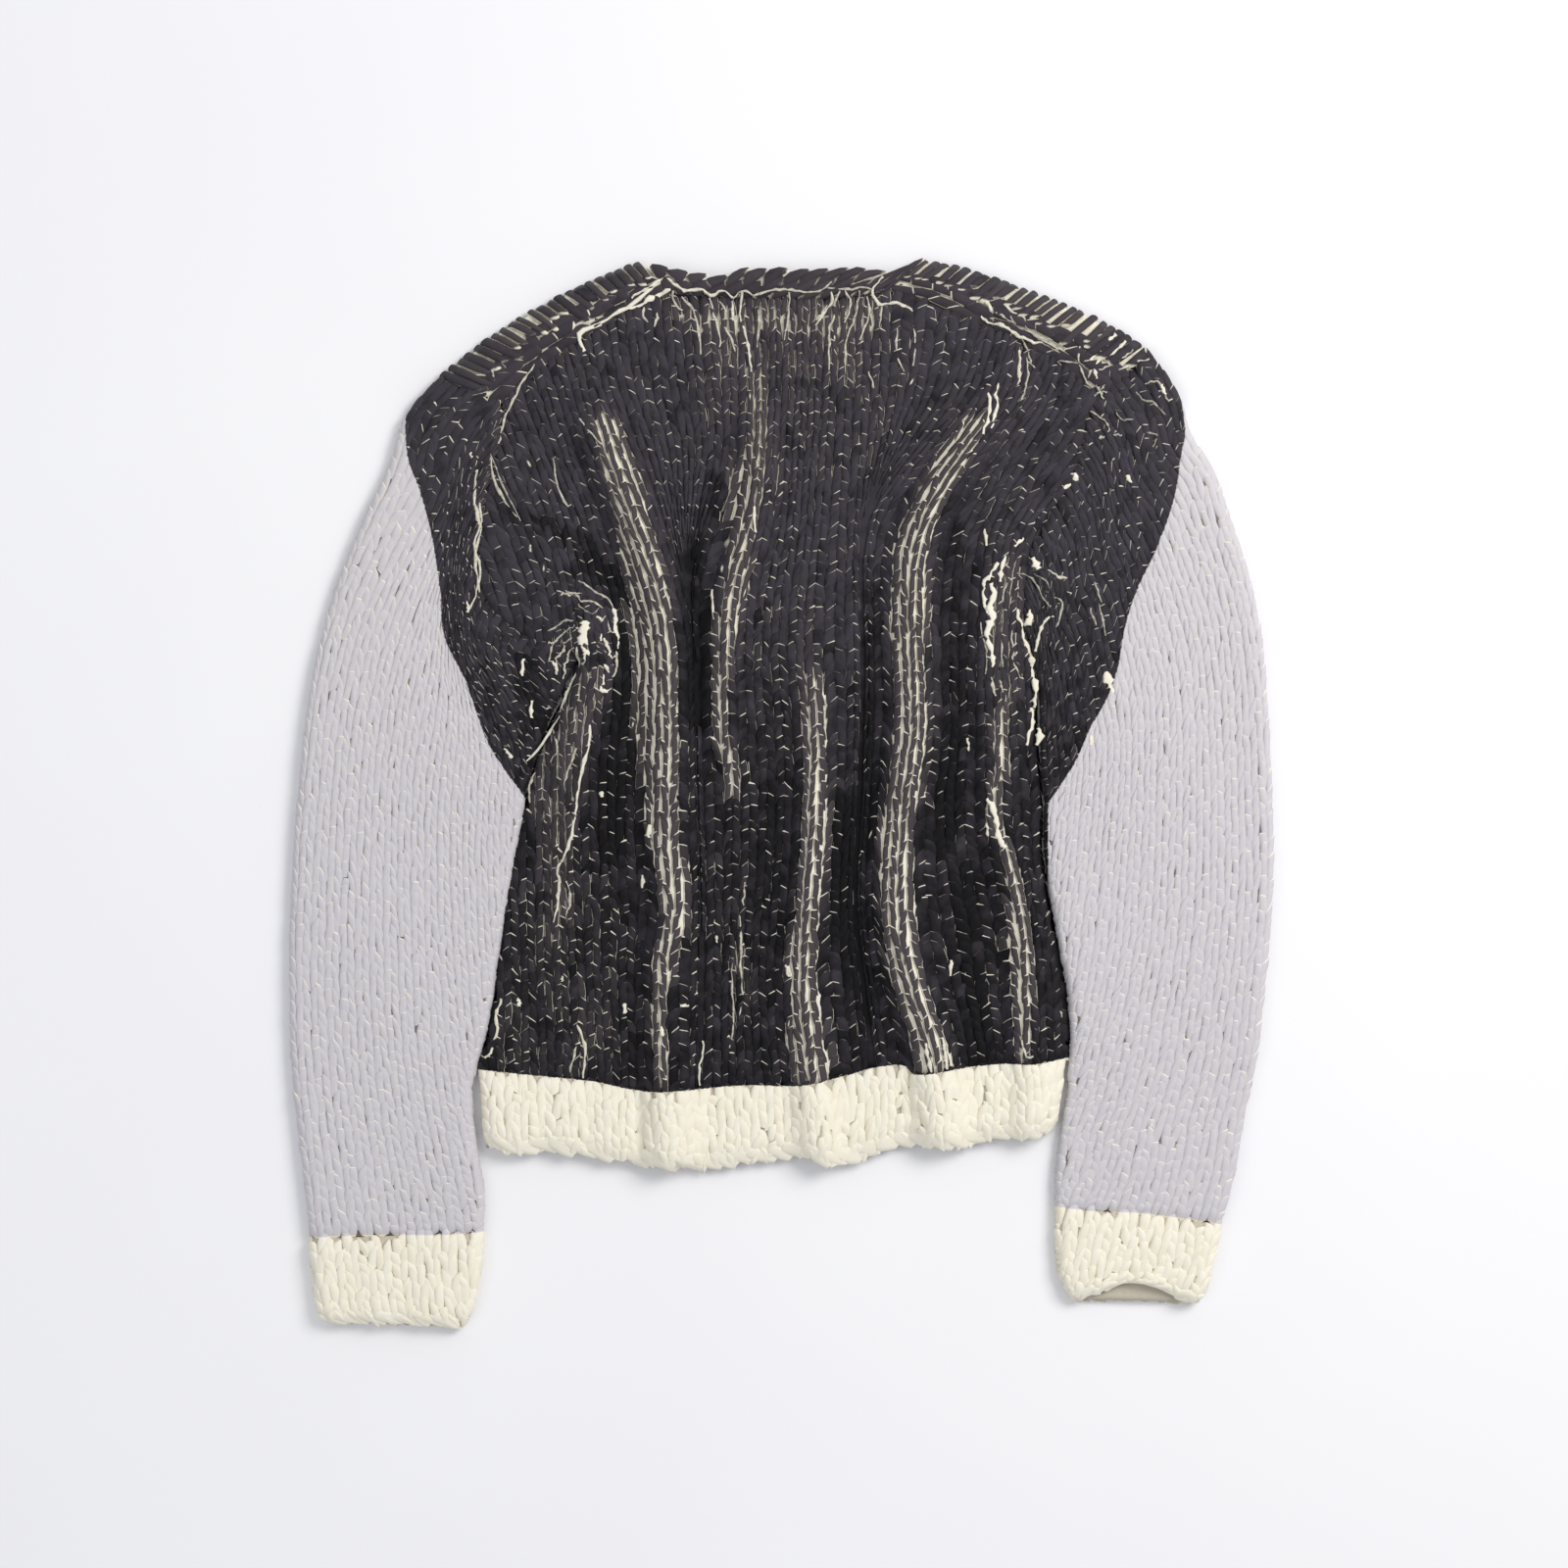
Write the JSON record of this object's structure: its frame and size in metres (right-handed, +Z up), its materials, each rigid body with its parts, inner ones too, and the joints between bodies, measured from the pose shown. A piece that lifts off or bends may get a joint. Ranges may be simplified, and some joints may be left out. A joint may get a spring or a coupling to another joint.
{
  "type": "knitted pullover laid flat",
  "caption": "Chunky hand-knitted pullover with long sleeves, laid flat with its back up, in standing folds, with plain hem and cuffs.",
  "frame": {"origin": "on the surface that it lies on, below the middle of its bounding box", "axes": "+Y from the hem to the neck, +Z up from the surface, +X to the right of the side that shows, which is the garment's back"},
  "size_m": [0.6848, 0.7407, 0.0245],
  "materials": {
    "charcoal_knit": "matt, painted wool",
    "grey_knit": "matt, painted wool",
    "cream_knit": "matt, bare wool"
  },
  "bodies": {
    "root": {"back": "charcoal_knit", "front": "charcoal_knit", "sleeve_left": "grey_knit", "sleeve_right": "grey_knit", "cuff_left": "cream_knit", "cuff_right": "cream_knit", "hem_band": "cream_knit", "neck_edge_back": "charcoal_knit", "neck_edge_front": "charcoal_knit"}
  },
  "joints": []
}
